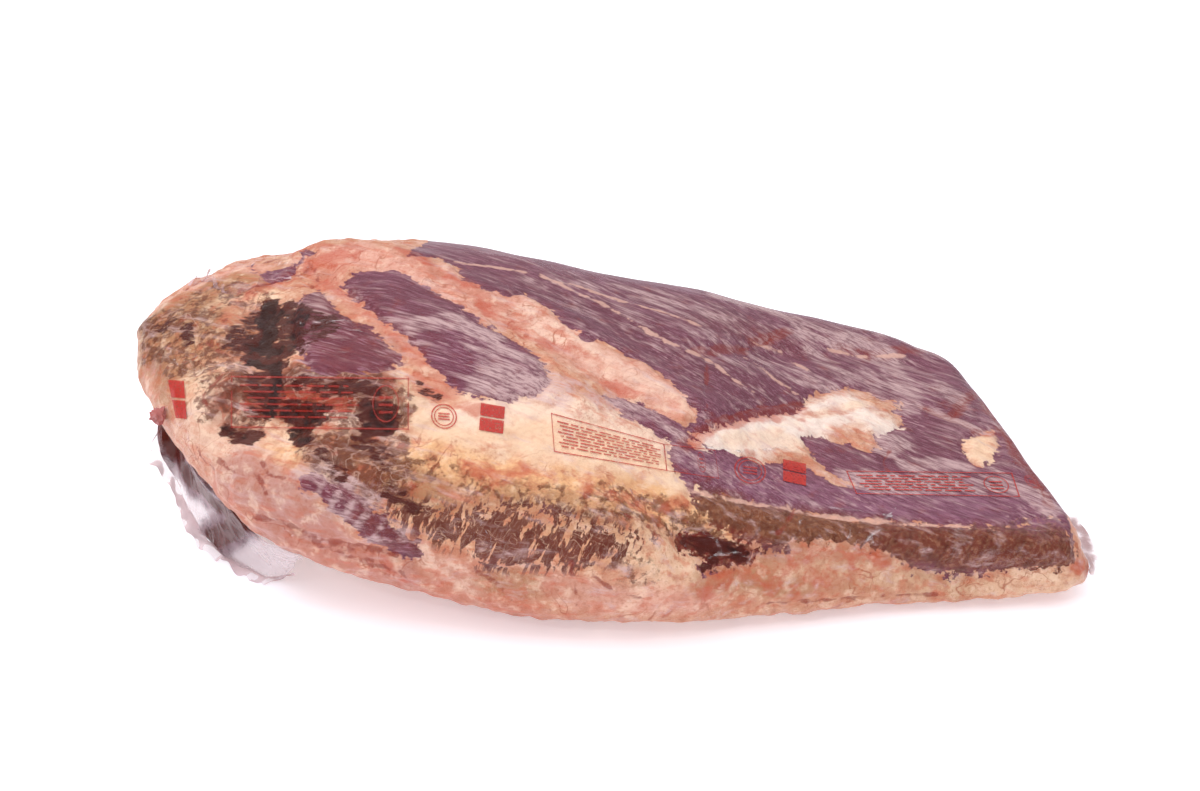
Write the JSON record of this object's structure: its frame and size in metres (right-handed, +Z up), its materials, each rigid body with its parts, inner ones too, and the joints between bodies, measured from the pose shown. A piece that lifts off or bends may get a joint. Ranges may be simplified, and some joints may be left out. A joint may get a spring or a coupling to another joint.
{
  "type": "vacuum-packed raw beef brisket",
  "caption": "Whole raw brisket of beef, fat cap down and lean side up, thick point end tapering to a flat thin end, shrunk tight in a clear bag with loose bag ends.",
  "frame": {"origin": "centre of the bottom of the bounding box, on the surface the part rests on", "axes": "+X along the length from the thick end to the thin end, +Y to the far long edge, +Z up from the fat side to the lean side"},
  "size_m": [0.5172, 0.2846, 0.1316],
  "materials": {
    "meat": "wet raw beef, purple-brown lean muscle with cream and pink fat, seen through clinging clear film",
    "bag_film": "thin clear plastic film with fine wrinkles and sharp highlights",
    "bag_print": null
  },
  "bodies": {
    "root": {"brisket": "meat", "bag_tail": "bag_film", "bag_seam": "bag_film"}
  },
  "joints": []
}
